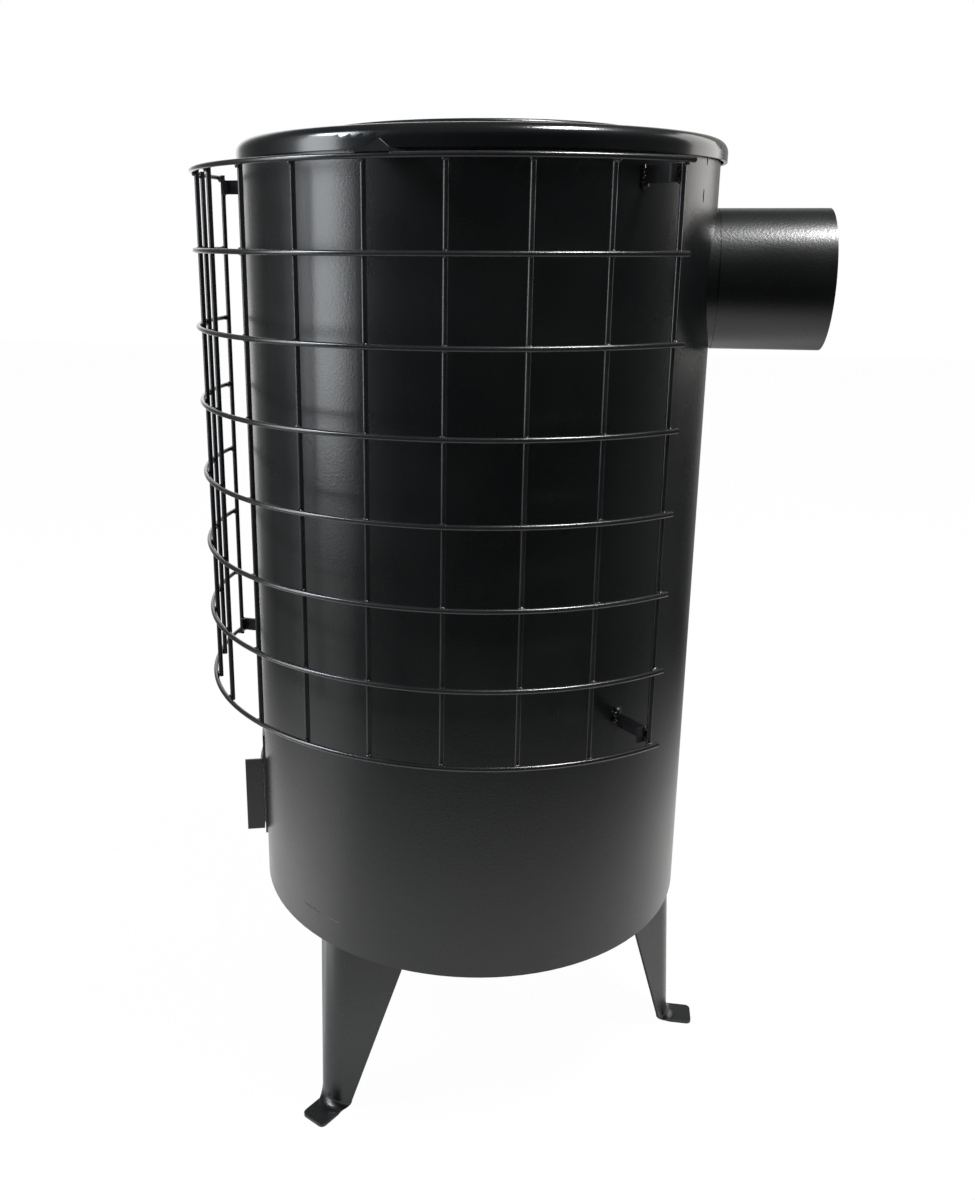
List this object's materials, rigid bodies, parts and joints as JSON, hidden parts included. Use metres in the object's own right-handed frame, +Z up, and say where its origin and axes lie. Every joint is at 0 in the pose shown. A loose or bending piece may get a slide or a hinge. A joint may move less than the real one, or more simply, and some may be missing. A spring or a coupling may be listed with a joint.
{
  "type": "round wood stove",
  "caption": "Top-fed round sheet-steel wood stove on splayed legs, with a wire guard, a horizontal flue spigot and an ash drawer with an air slide.",
  "frame": {"origin": "on the floor, under the axis of the drum", "axes": "+Z up along the drum, +Y out along the flue spigot, -Y the way the ash drawer opens"},
  "size_m": [0.3882, 0.4622, 0.744],
  "materials": {
    "bare_steel": "mill steel",
    "black_paint": "satin heat-resistant black",
    "cast_iron": "as cast",
    "wire_black": "glossy black"
  },
  "bodies": {
    "stove": {"base_plate": "black_paint", "drawer_collar": "black_paint", "drawer_runners": "bare_steel", "drum_shell": "black_paint", "flue_spigot": "black_paint", "grate": "cast_iron", "grate_ledge": "bare_steel", "guard_hook": "wire_black", "guard_hoops": "wire_black", "guard_strip_front_lower": "wire_black", "guard_strip_front_upper": "wire_black", "guard_strip_rear_lower": "wire_black", "guard_strip_rear_upper": "wire_black", "guard_uprights": "wire_black", "leg_bolts": "bare_steel", "leg_front_left": "black_paint", "leg_front_right": "black_paint", "leg_nuts": "bare_steel", "leg_rear": "black_paint"},
    "lid": {"lid_pan": "black_paint"},
    "cover": {"feed_cover": "black_paint", "cover_handle": "black_paint", "cover_rivets": "bare_steel"},
    "drawer": {"ash_tray": "bare_steel", "drawer_front": "black_paint", "air_guides": "black_paint", "guide_rivets": "bare_steel"},
    "air_slide": {"air_slide": "black_paint", "air_knob": "black_paint"}
  },
  "joints": [
    {"name": "lid_lift", "type": "slide", "parent": "stove", "child": "lid", "axis": [0, 0, 1], "range_m": [0, 0.06]},
    {"name": "cover_lift", "type": "slide", "parent": "lid", "child": "cover", "axis": [0, 0, 1], "range_m": [0, 0.05]},
    {"name": "ash_drawer", "type": "slide", "parent": "stove", "child": "drawer", "axis": [0, -1, 0], "range_m": [0, 0.19]},
    {"name": "air_control", "type": "hinge", "parent": "drawer", "child": "air_slide", "pos_m": [0, 0, 0.2115], "axis": [0, 0, 1], "range_deg": [-3.9, 0]}
  ]
}
